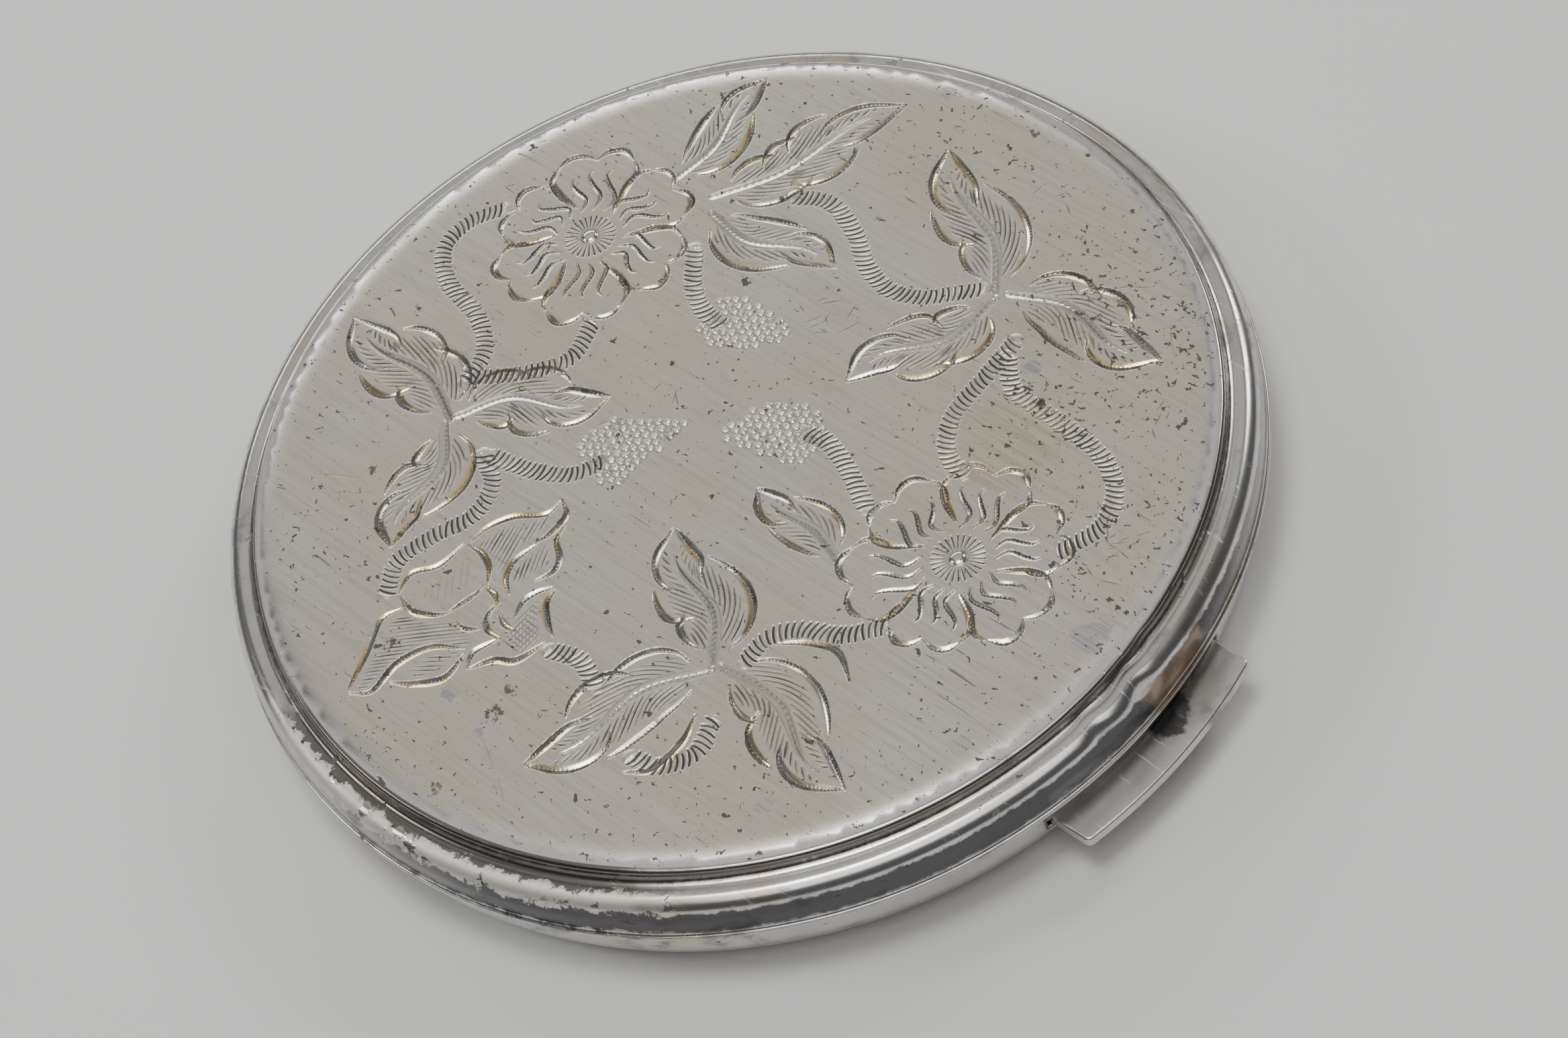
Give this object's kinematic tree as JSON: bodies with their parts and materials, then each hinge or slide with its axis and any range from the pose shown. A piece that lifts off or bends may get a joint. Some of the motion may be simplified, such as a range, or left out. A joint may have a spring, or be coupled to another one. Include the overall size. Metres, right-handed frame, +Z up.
{
  "type": "powder compact",
  "caption": "Slim round powder compact with a hinged floral-engraved lid, mirror, self-opening powder door, sifter, puff and thumb catch.",
  "frame": {"origin": "centre of the flat underside of the base", "axes": "+Z up out of the engraved lid, +Y towards the hinge, -Y towards the thumb plate, X along the hinge"},
  "size_m": [0.0752, 0.0785, 0.01],
  "materials": {
    "lid_plate": "worn nickel-silver plate, brushed top with bright-cut engraving and polished rim",
    "base_plate": "polished plate with dark tarnish and pits",
    "inner_plate": "bright plate, lightly scratched",
    "gilt_brass": "satin gilt lacquer, rubbed",
    "raw_brass": "plain brass, dull",
    "steel": "spring steel, oiled",
    "gauze": "fine open net, powdered",
    "velour": "short velour pile, powdered",
    "ribbon": "satin ribbon",
    "pad": "grey card",
    "mirror": "silvered glass with a ground edge"
  },
  "bodies": {
    "base": {"base_shell": "base_plate", "collar_ring": "inner_plate", "powder_tray": "gilt_brass", "sifter_ring": "gilt_brass", "sifter_gauze": "gauze", "puff": "velour", "puff_ribbon": "ribbon", "base_hinge_leaf": "base_plate", "hinge_pin": "steel", "tray_hinge_leaf": "gilt_brass", "door_hinge_pin": "steel", "door_spring": "steel", "catch_spring": "steel"},
    "door": {"powder_door": "gilt_brass", "door_hinge_leaf": "gilt_brass", "door_lift_tab": "gilt_brass"},
    "catch": {"thumb_plate": "base_plate", "catch_hook": "steel", "catch_rivets": "raw_brass"},
    "lid": {"lid_shell": "lid_plate", "lid_hinge_leaf": "lid_plate", "lid_keeper": "raw_brass", "mirror_glass": "mirror", "mirror_pad": "pad", "mirror_bezel": "inner_plate"}
  },
  "joints": [
    {"name": "lid_hinge", "type": "hinge", "parent": "base", "child": "lid", "pos_m": [0, 0.0378, 0.0045], "axis": [-1, 0, 0], "range_deg": [0, 110]},
    {"name": "door_hinge", "type": "hinge", "parent": "base", "child": "door", "pos_m": [0, 0.0339, 0.0062], "axis": [-1, 0, 0], "range_deg": [0, 88], "deforming": ["door_spring"]},
    {"name": "catch_press", "type": "slide", "parent": "base", "child": "catch", "axis": [0, 1, 0], "range_m": [0, 0.0008], "stiffness_N_per_m": 1200, "springref_m": -0.0005, "deforming": ["catch_spring"]}
  ],
  "couplings": [
    {"joint": "door_hinge", "follows": "lid_hinge", "ratio": 0.8}
  ]
}
